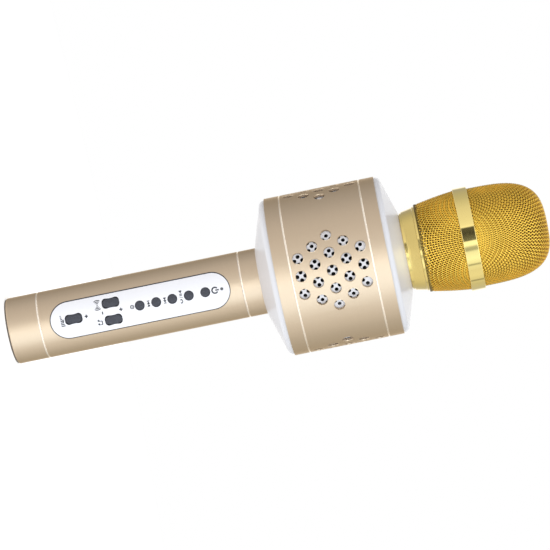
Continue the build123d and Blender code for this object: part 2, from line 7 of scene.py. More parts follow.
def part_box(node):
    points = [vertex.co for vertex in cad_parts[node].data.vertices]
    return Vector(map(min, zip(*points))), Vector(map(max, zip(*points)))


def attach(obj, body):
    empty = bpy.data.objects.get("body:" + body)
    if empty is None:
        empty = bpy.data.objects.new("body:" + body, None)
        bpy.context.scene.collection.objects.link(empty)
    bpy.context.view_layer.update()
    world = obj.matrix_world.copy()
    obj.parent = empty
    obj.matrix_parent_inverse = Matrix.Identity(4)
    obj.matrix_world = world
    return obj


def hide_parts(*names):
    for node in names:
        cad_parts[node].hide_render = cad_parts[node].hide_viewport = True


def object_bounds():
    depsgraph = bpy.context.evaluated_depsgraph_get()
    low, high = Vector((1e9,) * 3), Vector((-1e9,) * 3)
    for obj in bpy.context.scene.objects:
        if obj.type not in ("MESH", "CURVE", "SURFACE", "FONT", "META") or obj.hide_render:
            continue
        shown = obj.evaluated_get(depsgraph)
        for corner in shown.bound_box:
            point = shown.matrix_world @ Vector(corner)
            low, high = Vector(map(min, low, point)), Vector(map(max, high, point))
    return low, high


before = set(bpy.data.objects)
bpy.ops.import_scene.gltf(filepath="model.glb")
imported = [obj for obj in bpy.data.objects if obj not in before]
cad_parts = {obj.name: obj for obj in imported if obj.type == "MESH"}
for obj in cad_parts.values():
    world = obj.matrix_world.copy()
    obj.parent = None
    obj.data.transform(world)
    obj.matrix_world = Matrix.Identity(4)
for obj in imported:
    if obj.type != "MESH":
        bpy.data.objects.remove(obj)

cad_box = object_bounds()


# ---- End cap -------------------------------------------------------------------------------------
# A matte moulded plug pressed into the end of the handle, in dark brown.  Two openings in it show
# the charging socket and the headphone jack.


def add_node(tree, kind, settings=None, inputs=None):
    """Adds a shader node and gives its outputs.

    settings are the node's own properties; inputs, by name or number, are values or other sockets.
    """
    node = tree.nodes.new(f"ShaderNode{kind}")
    for name, value in (settings or {}).items():
        setattr(node, name, value)
    for name, value in (inputs or {}).items():
        if isinstance(value, bpy.types.NodeSocket):
            tree.links.new(value, node.inputs[name])
        else:
            node.inputs[name].default_value = value
    return node.outputs


def math_node(tree, operation, *values):
    """A Math node of this operation on these values or sockets; gives its result."""
    return add_node(tree, "Math", {"operation": operation}, dict(enumerate(values)))["Value"]


def range_node(tree, value, low, high, to_low=0.0, to_high=1.0, interpolation="LINEAR"):
    """Maps low to high onto to_low to to_high and holds it beyond them; gives the result."""
    inputs = {"Value": value, "From Min": low, "From Max": high, "To Min": to_low, "To Max": to_high}
    return add_node(tree, "MapRange", {"interpolation_type": interpolation}, inputs)["Result"]


def mix_colors(tree, factor, first, second, blend="MIX"):
    """The first colour where the factor is 0 and the second, or its blend with the first, where it is 1."""
    settings = {"data_type": "RGBA", "blend_type": blend}
    return add_node(tree, "Mix", settings, {"Factor": factor, "A": first, "B": second})["Result"]


def scaled_color(tree, color, scale):
    """A colour times a number."""
    return add_node(tree, "VectorMath", {"operation": "SCALE"}, {0: color, "Scale": scale})["Vector"]


def noise_node(tree, place, scale, detail):
    """Noise at these coordinates, from 0 to 1 and mostly near a half."""
    return add_node(tree, "TexNoise", inputs={"Vector": place, "Scale": scale, "Detail": detail})["Fac"]


def open_group(name, inputs):
    """A node group for a surface's colour, roughness and height; gives the group and its inputs."""
    group = bpy.data.node_groups.new(name, "ShaderNodeTree")
    for socket, value in inputs.items():
        kind = "NodeSocketColor" if isinstance(value, tuple) else "NodeSocketFloat"
        made = group.interface.new_socket(name=socket, in_out="INPUT", socket_type=kind)
        made.default_value = value
    for socket, kind in {"Color": "Color", "Roughness": "Float", "Height": "Float"}.items():
        group.interface.new_socket(name=socket, in_out="OUTPUT", socket_type=f"NodeSocket{kind}")
    return group, group.nodes.new("NodeGroupInput").outputs


def close_group(group, color, roughness, height):
    """Links these three sockets to the group's outputs."""
    result = group.nodes.new("NodeGroupOutput").inputs
    group.links.new(color, result["Color"])
    group.links.new(roughness, result["Roughness"])
    group.links.new(height, result["Height"])


def moulded_grain_group():
    """Moulded plastic or rubber skin: cloudy tone, fine spark grain in the roughness and a shallow bump."""
    group, given = open_group("moulded_grain", {
        "Color": (0.8, 0.8, 0.8, 1.0), "Tone": 0.05, "Scale": 2500.0, "Roughness": 0.4, "Spread": 0.1,
        "Speckle": 0.0,
    })
    place = add_node(group, "TexCoord")["Object"]
    cloud = noise_node(group, place, scale=60.0, detail=3.0)
    grain = noise_node(group, place, given["Scale"], detail=4.0)
    darkest = math_node(group, "SUBTRACT", 1.0, given["Tone"])
    tone = range_node(group, cloud, 0.3, 0.7, darkest, 1.0)
    fleck = range_node(group, grain, 0.56, 0.64, 0.0, given["Speckle"])
    color = scaled_color(group, given["Color"], math_node(group, "ADD", tone, fleck))
    middle = math_node(group, "SUBTRACT", grain, 0.5)
    roughness = math_node(group, "MULTIPLY_ADD", middle, given["Spread"], given["Roughness"])
    close_group(group, color, roughness, grain)
    return group


moulded_grain = moulded_grain_group()


def new_material(name, color, roughness, **sockets):
    """A Principled material with these constants on the shader's own sockets; gives it and its shader."""
    material = bpy.data.materials.new(name)
    material.use_nodes = True
    shader = material.node_tree.nodes["Principled BSDF"]
    for socket, value in {"Base_Color": (*color, 1.0), "Roughness": roughness, **sockets}.items():
        shader.inputs[socket.replace("_", " ")].default_value = value
    return material, shader


def grained_material(name, color, roughness, group, values, depth, **sockets):
    """A material whose colour, roughness and relief, this deep in metres, come from a node group."""
    material, shader = new_material(name, color, roughness, **sockets)
    tree = material.node_tree
    values = {"Color": (*color, 1.0), "Roughness": roughness, **values}
    skin = add_node(tree, "Group", {"node_tree": group}, values)
    relief = add_node(tree, "Bump", inputs={"Height": skin["Height"], "Distance": depth})
    tree.links.new(skin["Color"], shader.inputs["Base Color"])
    tree.links.new(skin["Roughness"], shader.inputs["Roughness"])
    tree.links.new(relief["Normal"], shader.inputs["Normal"])
    return material


def moulded_material(name, color, roughness, tone=0.06, scale=2500.0, spread=0.12, speckle=0.0,
                     depth=0.00002, **sockets):
    """Plastic, rubber or plating with the moulded grain: how cloudy, how fine, how uneven, how flecked."""
    values = {"Tone": tone, "Scale": scale, "Spread": spread, "Speckle": speckle}
    return grained_material(name, color, roughness, moulded_grain, values, depth, **sockets)


def finish_nodes(material, *names):
    """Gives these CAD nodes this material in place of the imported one."""
    for name in names:
        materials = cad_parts[name].data.materials
        materials.clear()
        materials.append(material)


finish_nodes(moulded_material("cap_brown", (0.085, 0.066, 0.050), 0.5, scale=4000.0), "end_cap")


# ---- Port board, charging socket and headphone jack ----------------------------------------------
# A small laminate board slides into rails in the end cap.  The charging socket is a folded plated
# shell soldered to it, and the jack is a black moulding with a plain round bore.

board_green = moulded_material("board_green", (0.02, 0.11, 0.05), 0.35, tone=0.25, scale=900.0,
                               depth=0.00003)
finish_nodes(board_green, "port_board", "control_board", "amplifier_board")

plated = moulded_material("nickel_plate", (0.66, 0.65, 0.63), 0.28, tone=0.12, scale=1800.0, Metallic=1.0)
finish_nodes(plated, "usb_socket", "board_screws", "amplifier_screws", "speaker_screws", "tact_switches")

black_moulding = moulded_material("black_moulding", (0.02, 0.02, 0.022), 0.45, tone=0.2)
finish_nodes(black_moulding, "audio_jack", "inner_chassis", "speaker_housing")


# ---- Inner chassis, battery and control board ----------------------------------------------------
# A half-round black tray fills the handle.  It carries the round battery cell, in shrink-wrapped
# film, and in front of it the control board, held by four small screws.

cell_film = moulded_material("cell_film", (0.03, 0.13, 0.36), 0.25, tone=0.1, Coat_Weight=0.5)
finish_nodes(cell_film, "battery_cell")
finish_nodes(moulded_material("lamp_resin", (0.80, 0.76, 0.52), 0.2), "status_led")


# ---- Handle tube ---------------------------------------------------------------------------------
# Extruded aluminium tube, bead-blasted and anodised in champagne, with two grooves that are cut
# bright by a diamond tool after anodising.  The drum sleeve has the same finish.


def anodised_group():
    """Anodised aluminium: fine blasted grain, faint drawing lines round the axis and bright-cut rings.

    A ring is bright where the height along the axis is within its width of one of two heights.
    """
    group, given = open_group("anodised_metal", {
        "Color": (0.6, 0.5, 0.4, 1.0), "Bright": (0.9, 0.86, 0.8, 1.0), "Ring A": 0.0, "Ring B": 0.0,
        "Ring Width": 0.0008, "Roughness": 0.36,
    })
    place = add_node(group, "TexCoord")["Object"]
    height = add_node(group, "SeparateXYZ", inputs={"Vector": place})["Z"]
    away = [
        math_node(group, "ABSOLUTE", math_node(group, "SUBTRACT", height, given[ring]))
        for ring in ("Ring A", "Ring B")
    ]
    cut = math_node(group, "LESS_THAN", math_node(group, "MINIMUM", *away), given["Ring Width"])
    grain = noise_node(group, place, scale=5200.0, detail=3.0)
    stretched = add_node(group, "Mapping", inputs={"Vector": place, "Scale": (0.15, 0.15, 9.0)})["Vector"]
    drawn = noise_node(group, stretched, scale=420.0, detail=2.0)
    grain_tone = range_node(group, grain, 0.3, 0.7, 0.95, 1.03)
    drawn_tone = range_node(group, drawn, 0.3, 0.7, 0.985, 1.01)
    anodised = scaled_color(group, given["Color"], math_node(group, "MULTIPLY", grain_tone, drawn_tone))
    color = mix_colors(group, cut, anodised, given["Bright"])
    polish = {"Factor": cut, "A": given["Roughness"], "B": 0.25}
    close_group(group, color, add_node(group, "Mix", inputs=polish)["Result"], grain)
    return group


anodised_metal = anodised_group()


def champagne_material(name, groove_heights):
    """Champagne anodising whose bright-cut rings lie at these two heights, in metres."""
    values = {
        "Bright": (1.0, 0.96, 0.90, 1.0), "Ring A": groove_heights[0], "Ring B": groove_heights[1],
        "Ring Width": 0.00036,
    }
    return grained_material(name, (0.610, 0.485, 0.352), 0.36, anodised_metal, values, depth=0.00001,
                            Metallic=1.0, Specular_Tint=(0.85, 0.74, 0.58, 1.0))


HANDLE_GROOVES = (0.0167, 0.1200)
finish_nodes(champagne_material("champagne_handle", HANDLE_GROOVES), "handle_tube")


# ---- Key panel and its printed marks -------------------------------------------------------------
# Glossy white moulding set flush in the handle's slot.  Its marks are a thin film of slate ink on
# the curved face: plus and minus signs, a small picture for each key, and the power sign.

MM = 0.001
panel_low, panel_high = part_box("control_panel")
PANEL_R = -panel_low.y / MM

white_gloss = moulded_material("white_gloss", (0.75, 0.74, 0.77), 0.2, tone=0.02, scale=300.0, spread=0.05,
                               depth=0.000004, Coat_Weight=0.6, Coat_Roughness=0.06)
finish_nodes(white_gloss, "control_panel")


def mesh_piece(name, points, faces, material, body, slot_name, smooth_angle=40):
    """Makes one mesh piece from points and quads, in metres in the shared frame, riding on a body.

    Points that coincide, as at a pole, are merged, and every shell's faces are turned outwards.
    """
    mesh = bpy.data.meshes.new(name)
    mesh.vertices.add(len(points))
    mesh.vertices.foreach_set("co", np.ascontiguousarray(points, dtype=np.float32).ravel())
    mesh.loops.add(faces.size)
    mesh.loops.foreach_set("vertex_index", faces.ravel().astype(np.int32))
    mesh.polygons.add(len(faces))
    mesh.polygons.foreach_set("loop_start", np.arange(0, faces.size, faces.shape[1], dtype=np.int32))
    mesh.update(calc_edges=True)
    shell = bmesh.new()
    shell.from_mesh(mesh)
    bmesh.ops.remove_doubles(shell, verts=shell.verts, dist=1e-7)
    bmesh.ops.recalc_face_normals(shell, faces=shell.faces)
    shell.to_mesh(mesh)
    shell.free()
    mesh.polygons.foreach_set("use_smooth", np.ones(len(mesh.polygons), dtype=bool))
    mesh.set_sharp_from_angle(angle=np.radians(smooth_angle))
    mesh.materials.append(material)
    piece = bpy.data.objects.new(name, mesh)
    bpy.context.scene.collection.objects.link(piece)
    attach(piece, body)
    return piece


def grid_faces(rows, columns, wrap_rows=False, wrap_columns=False):
    """Quads between neighbouring points of a rows by columns grid, closed round either way if asked."""
    i = np.arange(rows if wrap_rows else rows - 1)[:, None]
    j = np.arange(columns if wrap_columns else columns - 1)[None, :]
    i2, j2 = (i + 1) % rows, (j + 1) % columns
    corners = np.broadcast_arrays(i * columns + j, i * columns + j2, i2 * columns + j2, i2 * columns + j)
    return np.stack(corners, axis=-1).reshape(-1, 4)


INK_TOP = 0.03
INK_FOOT = -0.02
LINE_STEPS = 9


def stroke(points, width):
    """Ink ribbon: points is a path on the panel (across, along) in mm, width its breadth at each point.

    The ribbon's second parameter runs square to the path, from one side to the other and back under
    the panel's face, so that it is a closed film 0.05 mm thick.
    """
    path = np.asarray(points, float)
    breadth = np.broadcast_to(np.asarray(width, float), len(path))
    run = np.gradient(path, axis=0)
    run /= np.linalg.norm(run, axis=1)[:, None]
    square = np.stack([-run[:, 1], run[:, 0]], axis=1)
    side = np.array([-0.5, -0.17, 0.17, 0.5, 0.5, 0.17, -0.17, -0.5])
    radius = PANEL_R + np.where(np.arange(8) < 4, INK_TOP, INK_FOOT)[None, :]
    flat = path[:, None, :] + square[:, None, :] * (breadth[:, None] * side)[:, :, None]
    x, z = flat[..., 0], flat[..., 1]
    return np.stack([x, -np.sqrt(radius**2 - x**2), z], axis=-1) * MM


def ribbons(marks):
    """The strokes of these marks as one set of points and quads, each ribbon closed at its two ends."""
    points, faces, count = [], [], 0
    ends = np.array([[0, 1, 6, 7], [1, 2, 5, 6], [2, 3, 4, 5]])
    for path, width in marks:
        ribbon = stroke(path, width)
        rows, columns = ribbon.shape[:2]
        points.append(ribbon.reshape(-1, 3))
        caps = [ends, (ends + (rows - 1) * columns)[:, ::-1]]
        faces.append(np.concatenate([grid_faces(rows, columns, wrap_columns=True), *caps]) + count)
        count += rows * columns
    return np.concatenate(points), np.concatenate(faces)


def line(start, end, width=0.58, end_width=None):
    """Straight stroke; with an end width it tapers, down to a filled arrow head at nothing."""
    t = np.linspace(0, 1, LINE_STEPS)[:, None]
    end_width = width if end_width is None else end_width
    path = (1 - t) * np.array(start, float) + t * np.array(end, float)
    return path, width + (end_width - width) * t[:, 0]


def arc(centre, radius, first, last, width=0.42, steps=25):
    """Round stroke from one angle to another, in degrees from the +X side."""
    angle = np.radians(np.linspace(first, last, steps))
    path = np.stack([centre[0] + radius * np.cos(angle), centre[1] + radius * np.sin(angle)], axis=1)
    return path, width


def plus(x, z, size=1.7):
    """Plus sign of two crossed bars."""
    return [line((x - size / 2, z), (x + size / 2, z)), line((x, z - size / 2), (x, z + size / 2))]


def minus(x, z, size=1.4):
    """Minus sign of one bar."""
    return [line((x - size / 2, z), (x + size / 2, z))]


def arrow(x, z, way, size=1.4):
    """Filled arrow head that points to +X or -X."""
    return [line((x - way * size / 2, z), (x + way * size / 2, z), size * 1.15, 0.02)]


def bar(x, z, size=1.3):
    """Upright bar beside an arrow head."""
    return [line((x, z - size / 2), (x, z + size / 2), 0.42)]


def slash(x, z):
    """Slanting line between two signs."""
    return [line((x - 0.3, z - 0.8), (x + 0.3, z + 0.8), 0.24)]


def rising_bars(x, z):
    """Volume: a row of bars that grow from left to right."""
    return [
        line((x + 0.85 * (i - 3), z), (x + 0.85 * (i - 3), z + 0.45 + 0.27 * i), 0.52) for i in range(7)
    ]


def echo_arcs(x, z):
    """Echo: a dot with three wavefronts opening to each side."""
    marks = [line((x - 0.25, z), (x + 0.25, z), 0.5)]
    for way in (0, 180):
        marks += [arc((x, z), 0.9 + 0.75 * i, way - 38, way + 38) for i in range(3)]
    return marks


def quaver(x, z):
    """Music: a pair of joined notes with filled heads."""
    heads = [arc((x + at, z - 0.8), 0.24, 0, 360, 0.5) for at in (-0.9, 0.9)]
    stems = [line((x + at + 0.4, z - 0.8), (x + at + 0.4, z + 1.0), 0.32) for at in (-0.9, 0.9)]
    return heads + stems + [line((x - 0.5, z + 0.9), (x + 1.3, z + 0.9), 0.5)]


def power_sign(x, z, radius=1.45):
    """Power: an open ring with a bar through its gap."""
    return [arc((x, z), radius, 125, 415, 0.74, 41), line((x, z + 0.2), (x, z + radius + 0.6), 0.72)]


def handset(x, z):
    """Calls: a curved handset with a thick end at each side."""
    ends = [
        line((x - 1.05, z - 0.5), (x - 0.6, z - 0.2), 0.74),
        line((x + 0.6, z - 0.2), (x + 1.05, z - 0.5), 0.74),
    ]
    return [arc((x, z - 0.5), 0.9, 20, 160, 0.46)] + ends


def ring_mark(x, z):
    """Mode: a ring with a dot inside."""
    return [arc((x, z), 0.85, 0, 360, 0.42), arc((x, z), 0.18, 0, 360, 0.34)]


def key_place(name):
    """The middle of a key on the panel, (across, along) in mm, from its CAD box."""
    low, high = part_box(name)
    return (low.x + high.x) / 2 / MM, (low.z + high.z) / 2 / MM


volume_z = key_place("volume_rocker")[1]
echo_x, rockers_z = key_place("echo_rocker")
music_x = key_place("music_rocker")[0]
mode_z, previous_z, next_z, play_z, power_z = (
    key_place(f"{name}_button")[1] for name in ("mode", "previous", "next", "play", "power")
)
BUTTON_MARK = 3.9          # from a button's middle down to the middle of its mark
previous_mark = previous_z - BUTTON_MARK
next_mark = next_z - BUTTON_MARK + 0.1
play_mark = play_z - BUTTON_MARK
ink_marks = (
    rising_bars(0, volume_z - 6.7) + minus(0, volume_z - 5.3) + plus(0, volume_z + 6.5)
    + echo_arcs(echo_x, rockers_z - 6.8) + quaver(music_x, rockers_z - 6.8)
    + minus(0, rockers_z - 4.8) + plus(0, rockers_z + 4.6)
    + ring_mark(0, mode_z - BUTTON_MARK)
    + bar(-1.35, previous_mark) + arrow(-0.5, previous_mark, -1) + arrow(0.75, previous_mark, -1)
    + bar(1.35, next_mark) + arrow(0.5, next_mark, 1) + arrow(-0.75, next_mark, 1)
    + arrow(-2.6, play_mark, 1) + bar(-1.5, play_mark) + bar(-0.9, play_mark)
    + slash(0.1, play_mark) + handset(2.1, play_mark)
    + power_sign(0, power_z + 4.9)
)
# The same slate ink serves for the printed marks and for the painted shade in the gap round the panel.
slate_ink_and_seam_shade = moulded_material("slate_ink_and_seam_shade", (0.028, 0.031, 0.042), 0.4, tone=0.1)
mesh_piece("panel_marks", *ribbons(ink_marks), slate_ink_and_seam_shade, "body", "key_rubber", 30)

# A dark line of painted shade fills the gap round the panel, in the slate ink of the marks. It is drawn
# wider on the -X side and narrower on the +X side, following where the gap's shadow falls.
SEAM_R, SEAM_REACH = 9.2, 36.55
SEAM_MIDDLE = (panel_low.z + panel_high.z) / 2 / MM
half_turn = np.radians(np.linspace(0, 180, 41))
half_round = SEAM_R * np.stack([np.cos(half_turn), np.sin(half_turn)], axis=1)
seam_shade_path = np.concatenate([
    [[SEAM_R, SEAM_MIDDLE]],
    half_round + [0.0, SEAM_MIDDLE + SEAM_REACH],
    -half_round + [0.0, SEAM_MIDDLE - SEAM_REACH],
    [[SEAM_R, SEAM_MIDDLE]],
])
# The painted shade is widest on the -X side of the panel and narrowest on the +X side.
seam_shade_width = 0.38 - 0.16 * seam_shade_path[:, 0] / SEAM_R
mesh_piece("panel_seam_shade", *ribbons([(seam_shade_path, seam_shade_width)]), slate_ink_and_seam_shade, "body", "key_rubber", 30)

finish_nodes(moulded_material("smoked_lens", (0.02, 0.022, 0.03), 0.12, Coat_Weight=0.8), "led_lens")


# ---- Keys ----------------------------------------------------------------------------------------
# Soft-touch slate rubber with a light fleck, moulded over hard stems.  The rockers are waisted
# oblongs, the push buttons are round; each has a crowned top with a rounded edge.

key_rubber = moulded_material("key_rubber", (0.034, 0.036, 0.047), 0.66, tone=0.15, scale=4200.0,
                              spread=0.1, speckle=1.6, depth=0.00004, Sheen_Weight=0.1)
ROCKER_WIDTH, ROCKER_LENGTH, ROCKER_FLANGE = 4.7, 8.5, 0.6
BUTTON_R, BUTTON_FLANGE = 2.3, 0.7
KEY_TOP = 16.85            # the top's radius about the handle's axis, at the key's edge
KEY_CROWN = 0.30
KEY_EDGE = 0.62            # radius of the rounded edge
KEY_FLANGE = 12.4          # depths of the flange's top and of the foot, in front of the axis
KEY_FOOT = 11.8
EDGE_STEPS = 9


def rocker_loop(width, length, corner, waist, steps=96):
    """Oblong outline: a superellipse whose sides are drawn in towards the middle of their length."""
    t = np.arange(steps) * 2 * np.pi / steps
    power = 2 / corner
    x = width / 2 * np.sign(np.cos(t)) * np.abs(np.cos(t)) ** power
    z = length / 2 * np.sign(np.sin(t)) * np.abs(np.sin(t)) ** power
    return np.stack([x * (1 - waist * np.cos(np.pi * z / length) ** 2), z], axis=1)


def button_loop(radius, steps=64):
    """Round outline."""
    t = np.arange(steps) * 2 * np.pi / steps
    return np.stack([radius * np.cos(t), radius * np.sin(t)], axis=1)


def key_surface(loop, place, half, flange):
    """A key as rows of its outline, (across, along) in mm, from the middle of its foot to that of its top.

    The rows go out along the flange and up the wall, round the edge in a quarter circle and over the
    crown, whose height falls with the square of the distance from the middle.  Each row is the
    outline scaled about its middle, and the top's height is added to a radius about the handle's
    axis, so that the top follows the handle's roundness.
    """
    turn = np.radians(np.linspace(0, 90, EDGE_STEPS))
    inner = half - KEY_EDGE
    crown_inset = KEY_EDGE + inner * np.linspace(0.12, 1, EDGE_STEPS)
    inset = np.concatenate([KEY_EDGE * (1 - np.cos(turn)), crown_inset])
    crown_rise = KEY_CROWN * (1 - ((half - crown_inset) / inner) ** 2)
    rise = np.concatenate([KEY_EDGE * (np.sin(turn) - 1), crown_rise])
    flat = loop[None] * (1 - inset / half)[:, None, None] + place
    radius = KEY_TOP + rise[:, None]
    top = np.stack([flat[..., 0], -np.sqrt(radius**2 - flat[..., 0] ** 2), flat[..., 1]], axis=-1)
    grown = 1 + flange / half
    size = np.array([0.0, grown, grown, 1.0])[:, None]
    depth = np.array([KEY_FOOT, KEY_FOOT, KEY_FLANGE, KEY_FLANGE])[:, None]
    low = np.stack(np.broadcast_arrays(
        loop[None, :, 0] * size + place[0], -depth, loop[None, :, 1] * size + place[1]
    ), axis=-1)
    return np.concatenate([low, top]) * MM


rocker = (rocker_loop(ROCKER_WIDTH, ROCKER_LENGTH, corner=2.6, waist=0.04), ROCKER_WIDTH / 2, ROCKER_FLANGE)
button = (button_loop(BUTTON_R), BUTTON_R, BUTTON_FLANGE)
keys = {f"{name}_rocker": rocker for name in ("volume", "echo", "music")}
keys |= {f"{name}_button": button for name in ("mode", "previous", "next", "play", "power")}
for key_name, (outline, half_width, flange_width) in keys.items():
    surface = key_surface(outline, key_place(key_name), half_width, flange_width)
    key_faces = grid_faces(*surface.shape[:2], wrap_columns=True)
    key = mesh_piece(f"{key_name}_cap", surface.reshape(-1, 3), key_faces, key_rubber, key_name,
                     "key_rubber", 50)
    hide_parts(key_name)


# ---- Shoulders -----------------------------------------------------------------------------------
# White gloss mouldings, one each side of the drum.  Each has a spigot inside the sleeve and a lip
# that shows as a thin white line at the sleeve's end.

shoulder_white = moulded_material("shoulder_white", (0.62, 0.615, 0.64), 0.3, tone=0.03, scale=300.0,
                                  spread=0.05, depth=0.000004, Coat_Weight=0.2, Coat_Roughness=0.08)
finish_nodes(shoulder_white, "lower_shoulder", "upper_shoulder")


# ---- Drum sleeve and lattice screen --------------------------------------------------------------
# The sleeve is a drilled and anodised tube between the white shoulders.  Behind its holes stands a
# silvery moulded lattice with round windows, and the dark speaker chamber shows through those.

DRUM_GROOVES = (0.1461, 0.1866)
finish_nodes(champagne_material("champagne_drum", DRUM_GROOVES), "drum_sleeve")

# Each hole has a bright-cut rim: a closed ring whose four-sided section, out from the hole's edge and
# up from the sleeve, is carried round the hole and bent to the drum.
sleeve_low, sleeve_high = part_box("drum_sleeve")
DRUM_R, DRUM_MIDDLE = sleeve_high.x, (sleeve_low.z + sleeve_high.z) / 2
HOLE_R, HOLE_PITCH, COLUMN_PITCH = 0.00275, 0.0090, 0.0078
HOLE_COLUMNS = (3, 4, 5, 4, 3)
GROUP_TURN = 2.6           # degrees by which the four groups are turned from the panel
RIM_STEPS = 20
rim_section = np.array([[0.00020, 0.00000], [0.00008, 0.00004], [-0.00006, -0.00030], [0.00016, -0.00034]])
hole_places = np.array([
    (group * 90 - 90 + GROUP_TURN + np.degrees((row - (count - 1) / 2) * HOLE_PITCH / DRUM_R),
     DRUM_MIDDLE + (column - 2) * COLUMN_PITCH)
    for group in range(4) for column, count in enumerate(HOLE_COLUMNS) for row in range(count)
])
hole_bearing = np.radians(hole_places[:, 0])[:, None, None]
hole_height = hole_places[:, 1][:, None, None]
hole_turn = (np.arange(RIM_STEPS) * 2 * np.pi / RIM_STEPS)[None, :, None]
reach = (HOLE_R + rim_section[:, 0])[None, None, :]
rim_bearing = hole_bearing + reach * np.cos(hole_turn) / DRUM_R
rim_radius = DRUM_R + rim_section[:, 1][None, None, :]
rim_height = hole_height + reach * np.sin(hole_turn)
rims = np.stack(np.broadcast_arrays(
    rim_radius * np.cos(rim_bearing), rim_radius * np.sin(rim_bearing), rim_height
), axis=-1)
rim_points = RIM_STEPS * len(rim_section)
one_rim = grid_faces(RIM_STEPS, len(rim_section), wrap_rows=True, wrap_columns=True)
rim_faces = one_rim[None] + (np.arange(len(rims)) * rim_points)[:, None, None]
bright_cut = moulded_material("bright_cut", (0.66, 0.53, 0.38), 0.2, tone=0.04, scale=900.0, spread=0.1,
                              depth=0.000003, Metallic=1.0)
mesh_piece("hole_rims", rims.reshape(-1, 3), rim_faces.reshape(-1, 4), bright_cut, "body",
           "champagne_aluminium", 25)

screen_silver = moulded_material("screen_silver", (0.74, 0.73, 0.76), 0.3, tone=0.08, scale=900.0,
                                 Coat_Weight=0.3)
finish_nodes(screen_silver, "grille_screen")


# ---- Loudspeakers --------------------------------------------------------------------------------
# Each has a pressed steel frame, a ferrite magnet between plates and a coated paper cone.

frame_black = moulded_material("frame_black", (0.03, 0.03, 0.03), 0.4)
finish_nodes(frame_black, "front_speaker_frame", "back_speaker_frame")
finish_nodes(moulded_material("ferrite", (0.07, 0.07, 0.07), 0.55, tone=0.2), "front_magnet", "back_magnet")
cone_paper = moulded_material("cone_paper", (0.035, 0.035, 0.035), 0.7, tone=0.2)
finish_nodes(cone_paper, "front_cone", "back_cone")


# ---- Neck, rubber mount and capsule --------------------------------------------------------------
# The turned brass neck ring carries the basket's thread, and a rubber cup in it holds the capsule.

neck_brass = moulded_material("neck_brass", (0.72, 0.55, 0.25), 0.25, tone=0.06, Metallic=1.0)
finish_nodes(neck_brass, "neck_ring")
finish_nodes(moulded_material("mount_rubber", (0.012, 0.012, 0.012), 0.7), "capsule_mount")
finish_nodes(moulded_material("capsule_shell", (0.62, 0.61, 0.60), 0.3, Metallic=1.0), "capsule")

# The thread is a ridge of sloping four-sided section, carried six right-handed turns up the ring and
# run out to nothing at each end.
neck_low, neck_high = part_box("neck_ring")
THREAD_R, THREAD_LOW = neck_high.x / MM, neck_low.z / MM + 0.85
THREAD_PITCH, THREAD_TURNS = 1.5, 6
THREAD_RISE, THREAD_ROOT, THREAD_CREST = 0.24, 0.6, 0.15
winding = np.linspace(0, THREAD_TURNS * 2 * np.pi, THREAD_TURNS * 64 + 1)[:, None]
ridge = THREAD_RISE * np.clip(np.minimum(winding, winding[-1] - winding) / 2.0, 0, 1)
ridge_r = THREAD_R + ridge * [0, 1, 1, 0] + [-0.05, 0, 0, -0.05]
ridge_z = THREAD_LOW + THREAD_PITCH * winding / (2 * np.pi) + np.array(
    [-THREAD_ROOT, -THREAD_CREST, THREAD_CREST, THREAD_ROOT]
)
thread = np.stack([ridge_r * np.cos(winding), ridge_r * np.sin(winding), ridge_z], axis=-1) * MM
thread_ends = np.array([[0, 1, 2, 3], [3, 2, 1, 0]]) + np.array([[0], [4 * len(thread) - 4]])
thread_faces = np.concatenate([grid_faces(*thread.shape[:2], wrap_columns=True), thread_ends])
mesh_piece("neck_thread", thread.reshape(-1, 3), thread_faces, neck_brass, "body", "neck_brass", 30)


# ---- Basket collar and band ----------------------------------------------------------------------
# Both are turned, polished and gold plated.  The collar screws on the neck and the band grips the
# rims of the two meshes.

gold_polish = moulded_material("gold_polish", (0.93, 0.75, 0.28), 0.06, tone=0.03, scale=500.0, spread=0.05,
                               depth=0.000003, Metallic=1.0)
finish_nodes(gold_polish, "basket_band")
gold_turned = moulded_material("gold_turned", (0.86, 0.665, 0.235), 0.15, tone=0.04, scale=500.0,
                               spread=0.08, depth=0.000003, Metallic=1.0)
finish_nodes(gold_turned, "basket_collar")

# The collar's upper edge is rolled over the end of the mesh in small teeth. They are coloured all over in a
# dark gold that is painted shade for the shadowed gap between collar and mesh.
# A profile is carried round the axis, drawn in and lowered where a tooth gives way to the next.
CRIMP_R, CRIMP_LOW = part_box("basket_collar")[1].x, 0.2110
CRIMP_TEETH, TOOTH_STEPS = 84, 8
crimp_profile = np.array([
    (-0.50, -0.05), (0.35, -0.05), (0.80, 0.10), (0.90, 0.50), (0.80, 1.00), (0.20, 1.10), (-0.50, 1.00),
]) * MM + [CRIMP_R, CRIMP_LOW]
fold_depth = np.array([0.0, 0.0, 0.0, 0.35, 0.55, 0.55, 0.0])[:, None] * MM
tooth_height = np.array([0.0, 0.0, 0.0, 0.2, 0.7, 0.7, 0.0])[:, None] * MM
around = np.arange(CRIMP_TEETH * TOOTH_STEPS) * 2 * np.pi / (CRIMP_TEETH * TOOTH_STEPS)
fold = 0.5 - 0.5 * np.cos(CRIMP_TEETH * around)
crimp_r = crimp_profile[:, :1] - fold_depth * fold**2
crimp_z = crimp_profile[:, 1:] + tooth_height * (1 - fold) ** 2
crimp = np.stack([crimp_r * np.cos(around), crimp_r * np.sin(around), crimp_z], axis=-1)
# Painted shade: the teeth's dark gold stands for the shadow in the gap, not for the plating's own colour.
gold_painted_shade = moulded_material("gold_painted_shade", (0.20, 0.135, 0.035), 0.25, tone=0.3, scale=1500.0, spread=0.2,
                             Metallic=1.0)
crimp_faces = grid_faces(*crimp.shape[:2], wrap_rows=True, wrap_columns=True)
mesh_piece("crimp_teeth", crimp.reshape(-1, 3), crimp_faces, gold_painted_shade, "basket", "gold_plate", 40)


